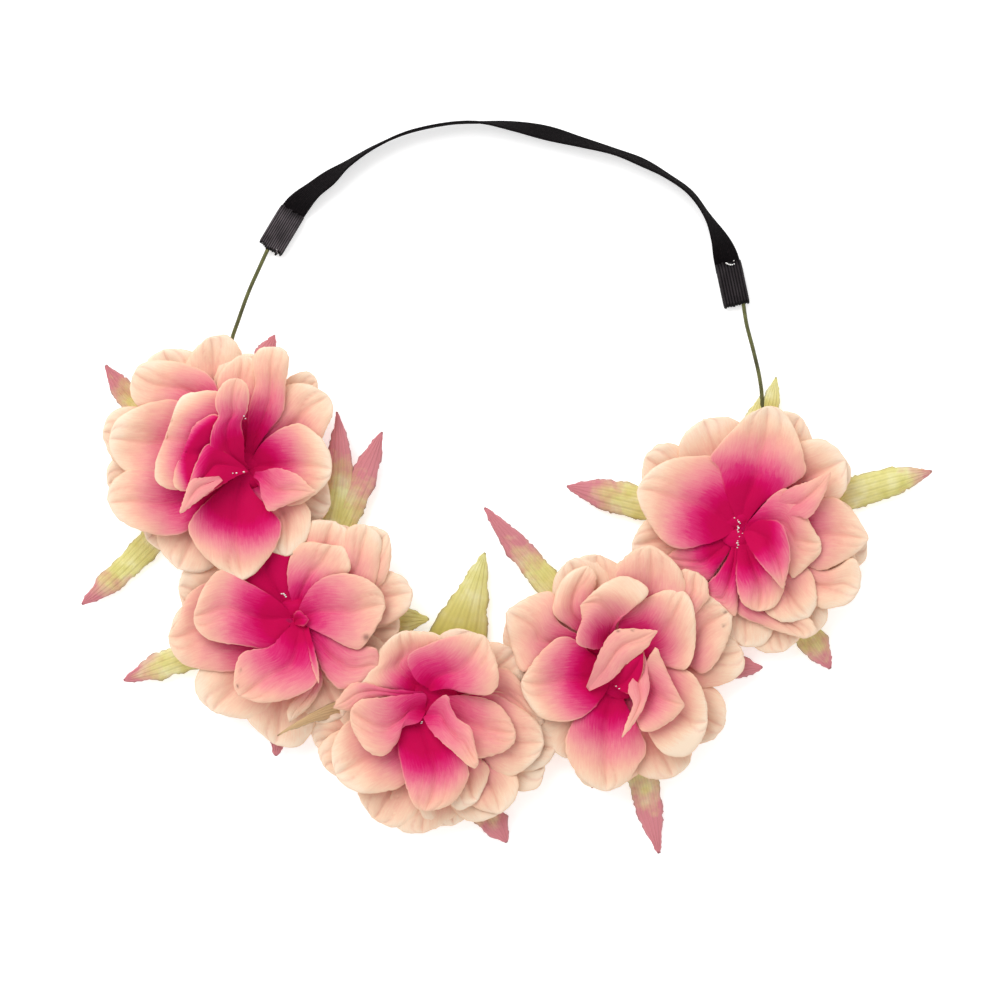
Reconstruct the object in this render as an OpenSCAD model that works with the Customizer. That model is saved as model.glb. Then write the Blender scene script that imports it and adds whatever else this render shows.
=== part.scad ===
// Flower crown: a coated wire arc that carries five layered fabric flower heads,
// with bare wire arms whose ends are held in the folded ends of an elastic band.
// The crown lies flat on the XY plane, flowers facing +Z, the elastic at the back (+Y).
// The origin is the middle of the head opening, at the level of the surface it lies on.

/* [Flower heads] */
// Diameter of a flower head across its outer petals
flower_d = 70; // [66:1:72]
// Number of petals cut in one fabric layer
petals = 5; // [4:1:6]
// Thickness of the petal fabric
petal_t = 0.5; // [0.4:0.1:0.6]
// Clear gap between the petals of two neighbouring heads
head_gap = 0.6; // [0.4:0.1:1.5]

/* [Leaves] */
// Width of a leaf at its middle
leaf_w = 10; // [8:0.5:12]
// Thickness of the leaf fabric
leaf_t = 0.6; // [0.4:0.1:0.7]

/* [Wire] */
// Diameter of the wire with its green coating
wire_d = 1.2; // [1:0.1:1.3]
// Height of the wire's centre above the surface
wire_z = 2.6; // [2.5:0.1:2.7]

/* [Elastic] */
// Width of the elastic band
band_w = 7.8; // [6.6:0.2:8.6]
// Thickness of the elastic band
band_t = 0.9; // [0.7:0.1:1]
// Length of each folded band end
fold_l = 13; // [13:0.5:15]

/* [Hidden] */
$fn = 48;
tube_sides = 8;

// Each head: centre, turn of its outer layer, level of its leaf whorl (0 below, 1 above).
HEADS = [
    [[-85.0, -10.5], 14, 0],
    [[-63.5, -61.5], 40, 1],
    [[-21.0, -93.5], 62, 0],
    [[36.0, -75.0], 28, 1],
    [[74.5, -33.0], 8, 0],
];
// The leaves of each whorl: direction in degrees and length from the head's centre.
LEAVES = [
    [[18, 38], [64, 40], [140, 43], [228, 61], [300, 44]],
    [[2, 42], [64, 62], [77, 64], [199, 52], [264, 40]],
    [[10, 42], [73, 56], [125, 40], [179, 48], [304, 41]],
    [[2, 43], [62, 40], [130, 62], [257, 37], [282, 57]],
    [[18, 59], [79, 46], [166, 55], [234, 42], [300, 49]],
];
// Where neighbouring heads press together: first head and its reach towards the next one.
MEETINGS = [[0, 33.2], [1, 27.0], [2, 28.7], [3, 31.0]];

// Petal layers from the outside in: tip radius and rise as shares of the head's radius,
// and the turn from the layer below in petal pitches.
LAYERS = [[1.0, 0.11, 0], [0.91, 0.27, 0.5], [0.72, 0.38, 0.2], [0.54, 0.42, 0.7]];
layer_names = ["outer", "second", "third", "inner"];

head_r = flower_d / 2;
petal_steps = 12;
layer_step = petal_t + 0.2;
whorl_step = leaf_t + 0.3;
whorl_disc_r = 9;
pad_r = 5;
calyx_z = wire_z + wire_d / 2 + 0.4;
calyx_top = calyx_z + 2.6;
calyx_r = 7;
first_layer_z = calyx_top + 0.1;
heart_z = first_layer_z + len(LAYERS) * layer_step;
heart_r = head_r * 0.35;
heart_h = 15;
pip_stem_r = 0.95;
hole_r = pip_stem_r + 0.15;
pip_head_r = 2.6;
pip_head_z = heart_z + petal_t + 0.45;

fold_slot = wire_d + 0.3;
fold_h = 2 * band_t + fold_slot;
joint_gap = 0.25;
hook_in = 8.5;
hook_r = 1.5;

// The wire's route: through every head's centre, then out to the end of each arm.
wire_front_route = [
    [-81.6, 23.0, wire_z], [-84.2, 9.0, wire_z], [-85.0, -10.5, wire_z], [-78.0, -38.0, wire_z],
    [-63.5, -61.5, wire_z], [-44.0, -81.5, wire_z], [-21.0, -93.5, wire_z], [9.0, -91.0, wire_z],
    [36.0, -75.0, wire_z], [59.0, -55.0, wire_z], [74.5, -33.0, wire_z], [79.0, -14.0, wire_z],
    [79.2, 4.6, wire_z],
];
left_fold_at = [-69.6, 52.2];
left_fold_turn = 59;
right_fold_at = [71.6, 35.2];
right_fold_turn = 102;
left_arm_route = [
    [-81.6, 23.0, wire_z], [-79.2, 30.5, wire_z], [-76.2, 38.8, wire_z], [-73.1, 46.0, wire_z - 0.7]];
right_arm_route = [
    [79.2, 4.6, wire_z], [78.5, 12.5, wire_z], [76.6, 21.0, wire_z], [74.6, 29.0, wire_z - 0.7]];

// The band's route from the left fold to the right one: x, y and lean of its width, where
// 0 lies flat and 90 stands on edge.
BAND = [
    [-62.4, 64.2, 4], [-57.0, 69.3, 42], [-51.6, 73.4, 48], [-46.0, 77.6, 70], [-38.0, 82.6, 80],
    [-28.0, 87.0, 84], [-16.0, 89.6, 84], [-6.0, 90.0, 82], [4.0, 88.9, 62], [14.0, 86.9, 50],
    [24.0, 84.2, 60], [34.5, 81.2, 70], [43.0, 77.9, 66], [50.5, 73.8, 74], [57.4, 68.8, 74],
    [62.4, 62.0, 72], [66.2, 55.2, 48], [68.4, 50.4, 6],
];

// ---- curves and sweeps ----

// A point of the smooth curve through a, b, c and d, at t from b to c.
function spline(a, b, c, d, t) =
    0.5 * ((2 * b) + (c - a) * t + (2 * a - 5 * b + 4 * c - d) * t * t
        + (3 * b - a - 3 * c + d) * t * t * t);

// The smooth curve through all points of a route, with steps stretches between two of them.
function smooth(p, steps) = let (n = len(p) - 1) concat(
    [for (i = [0:n - 1]) for (k = [0:steps - 1])
        spline(p[max(i - 1, 0)], p[i], p[i + 1], p[min(i + 2, n)], k / steps)],
    [p[n]]
);

function unit(v) = v / norm(v);
function heading(p, i) = unit(p[min(i + 1, len(p) - 1)] - p[max(i - 1, 0)]);
// The level direction across a route, to its right.
function across(p, i) = let (h = heading(p, i)) unit([h[1], -h[0], 0]);

// The faces of a closed tube of rings with the same number of points.
function tube_faces(rings, sides) = concat(
    [[for (k = [0:sides - 1]) k]],
    [for (i = [0:rings - 2]) for (k = [0:sides - 1]) for (half = [0, 1])
        let (n = (k + 1) % sides, a = i * sides + k, b = (i + 1) * sides + n)
        half == 0 ? [a, (i + 1) * sides + k, b] : [a, b, i * sides + n]],
    [[for (k = [sides - 1:-1:0]) (rings - 1) * sides + k]]
);

// A round tube along a route.
module tube(route, d) {
    points = [for (i = [0:len(route) - 1]) for (k = [0:tube_sides - 1])
        let (a = 360 * k / tube_sides, side = across(route, i), up = cross(side, heading(route, i)))
        route[i] + d / 2 * (cos(a) * side + sin(a) * up)];
    polyhedron(points, tube_faces(len(route), tube_sides));
}

// Keeps what lies between the two pivots of the arms, short of each by the joint gap.
function trimmed_start(route) = concat(
    [route[0] + joint_gap * heading(route, 0)], [for (i = [1:len(route) - 1]) route[i]]);
function reversed(route) = [for (i = [len(route) - 1:-1:0]) route[i]];

// ---- elastic band ----

module elastic_band() {
    color("black") {
        flat = smooth([for (b = BAND) [b[0], b[1], 0]], 3);
        lean = smooth([for (b = BAND) [b[2], 0, 0]], 3);
        section = [[-1, -1], [1, -1], [1, 1], [-1, 1]];
        points = [for (i = [0:len(flat) - 1]) for (s = section)
            let (
                a = lean[i][0], side = across(flat, i),
                z = band_w / 2 * sin(a) + band_t / 2 * cos(a),
                wide = cos(a) * side + [0, 0, sin(a)],
                thin = -sin(a) * side + [0, 0, cos(a)]
            )
            flat[i] + [0, 0, z] + s[0] * band_w / 2 * wide + s[1] * band_t / 2 * thin];
        polyhedron(points, tube_faces(len(flat), 4));
    }
}

// Places a fold's own frame, +X along the fold from its mouth, on the left or right.
module at_fold(right) {
    at = right ? right_fold_at : left_fold_at;
    translate([at[0], at[1], 0]) rotate([0, 0, right ? right_fold_turn : left_fold_turn])
        children();
}

// The wire enters the fold's round end off its middle line.
function wire_entry(right) = right ? -2.0 : 0.6;

// The band's end turned back on itself, round the hooked end of the wire.
module band_fold(right) {
    color("black") at_fold(right) difference() {
        rotate([90, 0, 0]) linear_extrude(band_w, center = true) difference() {
            union() {
                translate([fold_h / 2, 0]) square([fold_l - fold_h / 2, fold_h]);
                translate([fold_h / 2, fold_h / 2]) circle(fold_h / 2);
            }
            translate([fold_h / 2, band_t]) square([fold_l, fold_slot]);
            translate([fold_h / 2, fold_h / 2]) circle(fold_slot / 2);
        }
        translate([-1, wire_entry(right), fold_h / 2]) rotate([0, 90, 0])
            cylinder(h = fold_h, d = wire_d + 0.2);
    }
}

// Set glue that closes the open end of a fold behind the wire's hook.
module fold_glue(right) {
    color("dimgray") at_fold(right)
        translate([fold_l - 1.3, 0, fold_h / 2]) cube([2, band_w - 1.6, fold_slot - 0.1], center = true);
}

// ---- wire ----

// The last stretch of an arm: into the fold and back in a hook, in the row frame.
function hook_route(right) = let (
    at = right ? right_fold_at : left_fold_at,
    turn = right ? right_fold_turn : left_fold_turn,
    y0 = wire_entry(right),
    way = right ? 1 : -1,
    local = concat(
        [[-3, y0], [0, y0], [hook_in / 2, y0], [hook_in, y0]],
        [for (a = [30:30:180]) [hook_in + hook_r * sin(a), y0 + way * hook_r * (1 - cos(a))]],
        [[hook_in - 4, y0 + way * 2 * hook_r]]
    )
) [for (p = local) [
    at[0] + p[0] * cos(turn) - p[1] * sin(turn), at[1] + p[0] * sin(turn) + p[1] * cos(turn),
    fold_h / 2]];

module wire_front() {
    curve = smooth(wire_front_route, 5);
    color("darkolivegreen") tube(reversed(trimmed_start(reversed(trimmed_start(curve)))), wire_d);
}

module wire_arm(right) {
    free = smooth(right ? right_arm_route : left_arm_route, 4);
    route = trimmed_start(concat(free, hook_route(right)));
    color("darkolivegreen") tube(route, wire_d);
}

// ---- flower heads ----

module at_head(i) {
    translate([HEADS[i][0][0], HEADS[i][0][1], 0]) children();
}

// A leaf pointing along +X: the lens where two circles overlap.
module leaf(length) {
    arc_r = (length * length + leaf_w * leaf_w) / (4 * leaf_w);
    intersection() {
        translate([length / 2, arc_r - leaf_w / 2]) circle(arc_r, $fn = 96);
        translate([length / 2, leaf_w / 2 - arc_r]) circle(arc_r, $fn = 96);
    }
}

// The green leaves behind a head, cut from one sheet.
module leaf_whorl(i) {
    color("yellowgreen") at_head(i) translate([0, 0, HEADS[i][2] * whorl_step])
        linear_extrude(leaf_t) {
            circle(whorl_disc_r);
            for (l = LEAVES[i]) rotate(l[0]) leaf(l[1]);
        }
}

// Set glue round the wire, between the leaf whorl and the calyx.
module glue_pad(i) {
    bottom = HEADS[i][2] * whorl_step + leaf_t + 0.02;
    color("ivory") difference() {
        at_head(i) translate([0, 0, bottom]) cylinder(h = calyx_z - 0.02 - bottom, r = pad_r);
        wire_channel(i);
    }
}

// The straight channel that the wire leaves in a glue pad.
module wire_channel(i) {
    curve = smooth(wire_front_route, 5);
    at = 5 * (2 + 2 * i);
    h = heading(curve, at);
    translate(curve[at]) rotate([0, 90, atan2(h[1], h[0])])
        cylinder(h = 3 * pad_r, d = wire_d + 0.7, center = true);
}

// The moulded cup that the petal layers sit on, with a socket for the pip.
module calyx(i) {
    color("olivedrab") at_head(i) difference() {
        translate([0, 0, calyx_z]) cylinder(h = calyx_top - calyx_z, r1 = pad_r, r2 = calyx_r);
        translate([0, 0, calyx_z - 1]) cylinder(h = 5, r = pip_stem_r + 0.05);
    }
}

// The moulded pin whose head holds the petal layers down on the calyx.
module pip(i) {
    color("mediumvioletred") at_head(i) {
        translate([0, 0, calyx_z + 0.1])
            cylinder(h = pip_head_z - calyx_z, r = pip_stem_r);
        translate([0, 0, pip_head_z]) cylinder(h = 1.2, r1 = pip_head_r, r2 = pip_head_r * 0.7);
    }
}

// A petal's reach as a share of the longest, with a slight point at its middle: t is 0
// along the petal's middle line and -1 or 1 where it meets the next one.
function petal_reach(t) = 1 - 0.04 * min(1, 5 * abs(t)) - 0.24 * pow(abs(t), 3);

// The outline of one whole layer of petals, cut in one piece.
module petal_ring(tip_r) {
    pitch = 360 / petals;
    polygon([for (n = [0:petals - 1]) for (k = [0:petal_steps - 1])
        let (t = 2 * k / petal_steps - 1, a = (n + t / 2) * pitch)
        tip_r * petal_reach(t) * [cos(a), sin(a)]]);
}

// A thin bowl: the height is z at its middle and z + rise at radius r.
function ball_radius(r, rise) = (r * r + rise * rise) / (2 * rise);
module bowl(z, r, rise) {
    ball_r = ball_radius(r, rise);
    difference() {
        intersection() {
            translate([0, 0, z + ball_r]) sphere(ball_r);
            translate([0, 0, z - 1]) linear_extrude(rise + 2) children();
        }
        translate([0, 0, z + ball_r + petal_t]) sphere(ball_r);
        translate([0, 0, z - 1]) cylinder(h = 5, r = hole_r);
    }
}

// Everything beyond the planes where head i presses against its neighbours.
module neighbours(i) {
    for (m = MEETINGS) {
        a = m[0];
        from = HEADS[a][0];
        to = HEADS[a + 1][0];
        turn = atan2(to[1] - from[1], to[0] - from[0]);
        if (a == i) beyond(turn, m[1] - head_gap / 2);
        if (a + 1 == i) beyond(turn + 180, norm(to - from) - m[1] - head_gap / 2);
    }
}

module beyond(turn, reach) {
    rotate([0, 0, turn]) translate([reach, -2 * head_r, 0]) cube([head_r, 4 * head_r, 60]);
}

// One fabric layer of a head, counted from the outside in.
module petal_layer(i, k) {
    layer = LAYERS[k];
    tip_r = layer[0] * head_r;
    pitch = 360 / petals;
    shades = ["peachpuff", "lightpink", "hotpink", "deeppink"];
    color(shades[k]) at_head(i) difference() {
        bowl(first_layer_z + k * layer_step, tip_r, layer[1] * head_r)
            rotate(HEADS[i][1] + layer[2] * pitch) petal_ring(tip_r);
        neighbours(i);
    }
}

// The upright petals in the middle of a head: a small bowl with three rolled walls.
module heart(i) {
    rise = heart_r * 0.62;
    ball_r = ball_radius(heart_r, rise);
    walls = [[0.42, 200, 0], [0.64, 150, 150], [0.86, 120, 270]];
    color("crimson") at_head(i) {
        bowl(heart_z, heart_r, rise) circle(heart_r);
        for (w = walls) rotate([0, 0, w[2] + HEADS[i][1]])
            translate([0, 0, heart_z + 0.2 + ball_r - sqrt(pow(ball_r, 2) - pow(heart_r * w[0], 2))])
            rotate_extrude(angle = w[1]) translate([heart_r * w[0], 0])
                square([petal_t, heart_h * (1.15 - w[0] / 2)]);
    }
}

for (i = [0:4]) {
    name = str("flower_", i + 1, "_");
    leaf_whorl(i);
    glue_pad(i);
    calyx(i);
    heart(i);
    pip(i);
    for (k = [0:len(LAYERS) - 1])
        petal_layer(i, k);
}
wire_front();
wire_arm(false);  // wire_arm_left
wire_arm(true);  // wire_arm_right
elastic_band();
band_fold(false);  // band_fold_left
band_fold(true);  // band_fold_right
fold_glue(false);  // fold_glue_left
fold_glue(true);  // fold_glue_right
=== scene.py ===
"""Flower crown: five fabric flower heads on a coated wire, with an elastic band at the back."""
import math
import random

import bpy
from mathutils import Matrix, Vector, noise


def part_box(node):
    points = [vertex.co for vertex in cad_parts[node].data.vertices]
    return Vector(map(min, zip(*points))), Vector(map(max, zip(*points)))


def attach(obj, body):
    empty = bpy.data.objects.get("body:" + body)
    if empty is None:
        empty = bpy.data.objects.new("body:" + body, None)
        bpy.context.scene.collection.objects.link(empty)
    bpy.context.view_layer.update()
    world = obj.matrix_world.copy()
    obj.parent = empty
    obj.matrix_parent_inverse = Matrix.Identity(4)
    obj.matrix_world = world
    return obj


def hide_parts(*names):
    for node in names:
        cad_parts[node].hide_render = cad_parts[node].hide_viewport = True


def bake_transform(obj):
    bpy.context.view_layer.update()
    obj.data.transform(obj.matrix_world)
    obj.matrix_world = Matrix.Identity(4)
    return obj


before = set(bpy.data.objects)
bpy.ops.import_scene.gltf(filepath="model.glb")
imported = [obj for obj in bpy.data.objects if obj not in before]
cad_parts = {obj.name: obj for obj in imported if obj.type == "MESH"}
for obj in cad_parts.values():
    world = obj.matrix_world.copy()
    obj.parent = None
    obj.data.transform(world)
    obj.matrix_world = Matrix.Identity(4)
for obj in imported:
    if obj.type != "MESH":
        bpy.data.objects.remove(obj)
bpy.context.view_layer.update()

MM = 0.001
UP = Vector((0, 0, 1))


# ---- colours and node helpers

def rgb(red, green, blue):
    """An sRGB colour from 0 to 255, as Blender's linear one."""
    def linear(value):
        value /= 255
        return value / 12.92 if value <= 0.04045 else ((value + 0.055) / 1.055) ** 2.4
    return (linear(red), linear(green), linear(blue), 1.0)


class Shader:
    """A material's node tree with its Principled shader, and short ways to add nodes."""

    def __init__(self, name, **sockets):
        self.material = bpy.data.materials.new(name)
        self.material.use_nodes = True
        self.tree = self.material.node_tree
        self.principled = self.tree.nodes["Principled BSDF"]
        for socket, value in sockets.items():
            self.principled.inputs[socket.replace("_", " ")].default_value = value

    def node(self, kind, inputs=None, **settings):
        made = self.tree.nodes.new("ShaderNode" + kind)
        for key, value in settings.items():
            setattr(made, key, value)
        for key, value in (inputs or {}).items():
            if isinstance(value, bpy.types.NodeSocket):
                self.tree.links.new(value, made.inputs[key])
            else:
                made.inputs[key].default_value = value
        return made

    def math(self, operation, a, b=0.0, c=0.0, clamp=False):
        return self.node("Math", {0: a, 1: b, 2: c}, operation=operation, use_clamp=clamp).outputs[0]

    def ramp(self, factor, stops):
        made = self.node("ValToRGB", {"Fac": factor})
        elements = made.color_ramp.elements
        while len(elements) < len(stops):
            elements.new(0.5)
        for element, (place, colour) in zip(elements, stops):
            element.position = place
            element.color = colour
        return made.outputs["Color"]

    def mix(self, factor, a, b):
        made = self.node("Mix", data_type="RGBA")
        for index, value in ((0, factor), (6, a), (7, b)):
            if isinstance(value, bpy.types.NodeSocket):
                self.tree.links.new(value, made.inputs[index])
            else:
                made.inputs[index].default_value = value
        return made.outputs[2]

    def noise(self, scale, detail=2.0, vector=None):
        inputs = {"Scale": scale, "Detail": detail, "Vector": vector or self.place()}
        return self.node("TexNoise", inputs).outputs["Fac"]

    def wave(self, scale, vector, direction="X", distortion=0.0):
        inputs = {"Scale": scale, "Distortion": distortion, "Vector": vector}
        return self.node("TexWave", inputs, bands_direction=direction).outputs["Fac"]

    def place(self):
        return self.node("TexCoord").outputs["Object"]

    def uv(self):
        return self.node("TexCoord").outputs["UV"]

    def attribute(self, name):
        return self.node("Attribute", attribute_name=name).outputs["Fac"]

    def colour(self, socket):
        self.tree.links.new(socket, self.principled.inputs["Base Color"])

    def roughness(self, low, high, factor):
        made = self.node("MapRange", {"Value": factor, "To Min": low, "To Max": high})
        self.tree.links.new(made.outputs["Result"], self.principled.inputs["Roughness"])

    def bump(self, height, strength, distance):
        inputs = {"Height": height, "Strength": strength, "Distance": distance}
        self.tree.links.new(self.node("Bump", inputs).outputs["Normal"],
                            self.principled.inputs["Normal"])


# ---- materials

# Scales are for each metre of the object or, over UVs, for each centimetre along a piece.


def petal_material():
    """Dyed polyester: magenta at a petal's foot, through pink, to peach and cream at its edge, with painted
    shade along its creases and a painted highlight on its rim.
    """
    shader = Shader("petal_fabric", Sheen_Weight=0.03, Sheen_Roughness=0.5, Specular_IOR_Level=0.08)
    along = shader.node("Mapping", {"Vector": shader.uv(), "Scale": (9.0, 1.2, 1.0)}).outputs[0]
    blotch = shader.math("MULTIPLY", shader.noise(130.0, 3.0), 0.22)
    streak = shader.math("MULTIPLY", shader.noise(2.6, 3.0, along), 0.20)
    fibre = shader.math("MULTIPLY", shader.noise(2600.0, 1.0), 0.06)
    spread = shader.math("ADD", shader.math("ADD", blotch, streak), fibre)
    uneven = shader.math("SUBTRACT", spread, 0.25)
    tint = shader.math("ADD", shader.attribute("tint"), uneven, clamp=True)
    dye = shader.ramp(tint, [
        (0.0, rgb(194, 0, 76)), (0.10, rgb(203, 0, 90)), (0.24, rgb(214, 48, 112)),
        (0.40, rgb(225, 107, 134)), (0.56, rgb(232, 148, 148)), (0.72, rgb(239, 179, 158)),
        (0.88, rgb(245, 207, 178)), (1.0, rgb(247, 223, 198))])
    # Painted shade along the creases: the vein value darkens the dye, more on paler cloth.
    line = shader.math("MULTIPLY", shader.attribute("vein"), tint)
    crease_shaded = shader.mix(line, dye, rgb(222, 126, 116))
    spotted = shader.mix(shader.attribute("spot"), crease_shaded, rgb(96, 62, 58))
    # Painted highlight: a pale peach line along the rim.
    rim_lit = shader.mix(shader.attribute("edge"), spotted, rgb(248, 206, 172))
    shader.colour(rim_lit)
    weave_u = shader.wave(90.0, shader.uv(), "X")
    weave_v = shader.wave(110.0, shader.uv(), "Y")
    weave = shader.math("ADD", shader.math("MULTIPLY", weave_u, weave_v),
                        shader.noise(900.0, 3.0))
    shader.bump(weave, 0.25, 0.00012)
    shader.roughness(0.55, 0.8, shader.noise(400.0))
    return shader.material


def leaf_material():
    """Dyed polyester: yellow-green with fine ribs, mauve towards a leaf's tip, and painted shade of darker
    olive towards its root.
    """
    shader = Shader("leaf_fabric", Sheen_Weight=0.2, Sheen_Roughness=0.5)
    blotch = shader.math("MULTIPLY_ADD", shader.noise(300.0, 4.0), 0.7, -0.35)
    tint = shader.math("ADD", shader.attribute("tint"), blotch, clamp=True)
    # Painted shade near the flower: the green turns darker olive towards the leaf's root.
    out = shader.math("ADD", shader.attribute("tint"), 1.2)
    pale = shader.ramp(shader.noise(160.0, 3.0), [
        (0.3, rgb(222, 214, 122)), (0.5, rgb(236, 229, 150)), (0.7, rgb(249, 245, 194))])
    green = shader.mix(shader.ramp(out, [(0.1, (0, 0, 0, 1)), (0.9, (1, 1, 1, 1))]),
                       rgb(206, 192, 92), pale)
    dye = shader.mix(shader.ramp(tint, [(0.3, (0, 0, 0, 1)), (0.8, (1, 1, 1, 1))]),
                     green, rgb(220, 132, 144))
    ribs = shader.wave(1.6, shader.uv(), "X")
    threads = shader.wave(34.0, shader.uv(), "Y")
    dark = shader.math("MULTIPLY", shader.math("ADD", ribs, threads), 0.11)
    aged = shader.mix(shader.attribute("vein"), dye, rgb(226, 184, 140))
    # Darker lines along the wave of the ribs and threads.
    ridge_highlight_and_rib_lines = shader.mix(dark, aged, rgb(126, 116, 48))
    shader.colour(shader.mix(shader.attribute("edge"), ridge_highlight_and_rib_lines, rgb(112, 84, 70)))
    shader.bump(shader.math("ADD", ribs, shader.math("MULTIPLY", threads, 0.5)), 0.4, 0.0002)
    shader.roughness(0.6, 0.85, shader.noise(500.0))
    return shader.material


def wire_material():
    """Olive paper wound round the wire, darker in places from wear."""
    shader = Shader("wire_coating", Specular_IOR_Level=0.4)
    patches = shader.noise(240.0, 4.0)
    shader.colour(shader.ramp(patches, [
        (0.3, rgb(70, 70, 38)), (0.55, rgb(104, 106, 58)), (0.75, rgb(140, 140, 86))]))
    shader.bump(shader.wave(60.0, shader.uv(), "Y", 1.0), 0.5, 0.0001)
    shader.roughness(0.4, 0.7, patches)
    return shader.material


def elastic_material(name, gloss):
    """Black braided elastic, with fine crosswise threads, and on the folds a painted highlight along the
    tops of the threads.
    """
    shader = Shader(name, Specular_IOR_Level=0.12)
    threads = shader.noise(1500.0, 3.0)
    black = shader.ramp(threads, [
        (0.35, rgb(6, 3, 5)), (0.6, rgb(16, 11, 13)), (0.8, rgb(40, 32, 35))])
    # Painted highlight: the tops of the fold's threads are lightened towards a pale grey.
    ridge_highlight_and_rib_lines = shader.math("MULTIPLY", shader.attribute("tint"), shader.noise(260.0, 3.0))
    shader.colour(shader.mix(ridge_highlight_and_rib_lines, black, rgb(168, 156, 162)))
    shader.bump(shader.math("ADD", threads, shader.wave(80.0, shader.uv(), "Y", 2.0)),
                0.5, 0.00015)
    shader.roughness(0.75 - gloss, 0.9 - gloss, threads)
    return shader.material


def moulded_material(name, dark, light):
    """Dyed moulded polyethylene with flow marks."""
    shader = Shader(name, Specular_IOR_Level=0.1)
    marks = shader.noise(350.0, 3.0)
    shader.colour(shader.ramp(marks, [(0.35, dark), (0.7, light)]))
    shader.bump(marks, 0.3, 0.0002)
    shader.roughness(0.35, 0.6, marks)
    return shader.material


def glue_material():
    """Milky hot glue."""
    shader = Shader("hot_glue", Coat_Weight=0.6, Coat_Roughness=0.08)
    cloud = shader.noise(500.0, 3.0)
    shader.colour(shader.ramp(cloud, [(0.3, rgb(222, 220, 214)), (0.7, rgb(250, 249, 246))]))
    shader.bump(cloud, 0.3, 0.0003)
    shader.roughness(0.08, 0.25, cloud)
    return shader.material


def floor_material():
    """A seamless white light table."""
    shader = Shader("white_paper", Roughness=0.9, Emission_Color=(1, 1, 1, 1),
                    Emission_Strength=0.4)
    shader.colour(shader.ramp(shader.noise(3.0), [
        (0, (0.93, 0.93, 0.93, 1)), (1, (0.96, 0.96, 0.96, 1))]))
    return shader.material


PETAL = petal_material()
LEAF = leaf_material()
WIRE = wire_material()
BAND = elastic_material("elastic_band_cloth", 0.0)
FOLD = elastic_material("elastic_fold_cloth", 0.4)
CALYX = moulded_material("calyx_plastic", rgb(88, 104, 34), rgb(128, 142, 62))
PIP = moulded_material("pip_plastic", rgb(150, 4, 60), rgb(196, 12, 92))
GLUE = glue_material()


# ---- meshes

class Sheet:
    """Points and faces of one piece, with tint, edge, vein and spot values at each point."""

    def __init__(self):
        self.points, self.faces, self.uvs = [], [], []
        self.values = {"tint": [], "edge": [], "vein": [], "spot": []}

    def add(self, point, uv=(0, 0), **values):
        self.points.append(Vector(point) * MM)
        self.uvs.append(uv)
        for key, row in self.values.items():
            row.append(values.get(key, 0.0))

    def grid(self, rows, columns, start, closed=False):
        """Joins rows of columns points each, from the point numbered start, with quads."""
        across = columns if closed else columns - 1
        for i in range(rows - 1):
            for j in range(across):
                a, b = start + i * columns + j, start + i * columns + (j + 1) % columns
                self.faces.append((a, b, b + columns, a + columns))

    def build(self, name, material, thickness=0.0):
        mesh = bpy.data.meshes.new(name)
        mesh.from_pydata(self.points, [], self.faces)
        uv_layer = mesh.uv_layers.new(name="UVMap")
        for loop in mesh.loops:
            uv_layer.data[loop.index].uv = self.uvs[loop.vertex_index]
        for key, values in self.values.items():
            mesh.attributes.new(key, "FLOAT", "POINT").data.foreach_set("value", values)
        mesh.polygons.foreach_set("use_smooth", [True] * len(mesh.polygons))
        mesh.materials.append(material)
        made = bpy.data.objects.new(name, mesh)
        bpy.context.scene.collection.objects.link(made)
        if thickness:
            solid = made.modifiers.new("thickness", "SOLIDIFY")
            solid.thickness = thickness * MM
            solid.offset = 0
        return made


def tube(sheet, path, radius, sides=12):
    """A round tube along path with flat ends, in millimetres."""
    start = len(sheet.points)
    run = 0.0
    for i, point in enumerate(path):
        ahead = path[min(i + 1, len(path) - 1)] - path[max(i - 1, 0)]
        ahead.normalize()
        side = ahead.cross(UP)
        side = side.normalized() if side.length > 0.05 else Vector((1, 0, 0))
        top = side.cross(ahead)
        run += (point - path[max(i - 1, 0)]).length
        for k in range(sides):
            turn = 2 * math.pi * k / sides
            at = point + side * radius * math.cos(turn) + top * radius * math.sin(turn)
            sheet.add(at, (k / sides, run / 10))
    sheet.grid(len(path), sides, start, closed=True)
    sheet.faces.append(tuple(start + k for k in range(sides))[::-1])
    last = start + (len(path) - 1) * sides
    sheet.faces.append(tuple(last + k for k in range(sides)))


def blob(sheet, centre, radii, seed, rings=10, sides=14):
    """A rounded drop with an uneven skin."""
    start = len(sheet.points)
    for i in range(rings + 1):
        tilt = math.pi * i / rings
        for k in range(sides):
            turn = 2 * math.pi * k / sides
            way = Vector((math.sin(tilt) * math.cos(turn), math.sin(tilt) * math.sin(turn), math.cos(tilt)))
            swell = 1 + 0.3 * noise.noise(way * 1.7 + Vector((seed, 0, 0)))
            sheet.add(centre + Vector((way.x * radii[0], way.y * radii[1], way.z * radii[2])) * swell)
    sheet.grid(rings + 1, sides, start, closed=True)


def spline(points, steps):
    """A smooth curve through points, with steps stretches between two of them."""
    out = []
    for i in range(len(points) - 1):
        a, b = points[max(i - 1, 0)], points[i]
        c, d = points[i + 1], points[min(i + 2, len(points) - 1)]
        for k in range(steps):
            t = k / steps
            out.append(0.5 * (2 * b + (c - a) * t + (2 * a - 5 * b + 4 * c - d) * t * t
                              + (3 * b - a - 3 * c + d) * t ** 3))
    return out + [points[-1]]


def polar(degrees, length):
    """A step of some length in a direction, in plan."""
    return Vector((length * math.cos(math.radians(degrees)),
                   length * math.sin(math.radians(degrees)), 0))


# ---- flower heads

PETAL_ROWS, PETAL_COLUMNS = 40, 33
PETAL_CLOTH = 0.3
FOOT_HALF_WIDTH = 0.8
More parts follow.
